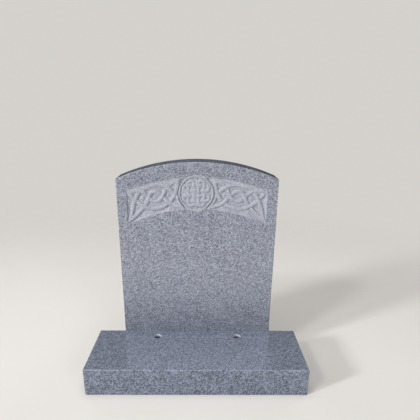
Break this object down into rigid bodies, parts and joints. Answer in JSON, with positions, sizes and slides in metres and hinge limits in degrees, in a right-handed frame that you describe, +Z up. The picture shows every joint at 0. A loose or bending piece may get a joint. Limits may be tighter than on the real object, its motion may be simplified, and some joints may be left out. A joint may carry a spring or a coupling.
{
  "type": "arched headstone",
  "caption": "Granite headstone with parallel sides, a segmental arched top and a sunk band of knotwork, standing behind a flat rectangular base slab with dowel holes.",
  "frame": {"origin": "middle of the ground that the headstone and its base cover together", "axes": "+X to the right seen from the front, +Y from the base back to the headstone, +Z up"},
  "size_m": [0.762, 0.3562, 0.756],
  "materials": {
    "headstone_granite": "fine-grained grey granite, honed to a soft sheen, with the carved band left lighter and matt",
    "base_granite": "fine-grained grey granite, polished on top"
  },
  "bodies": {
    "root": {"headstone": "headstone_granite", "base": "base_granite"}
  },
  "joints": []
}
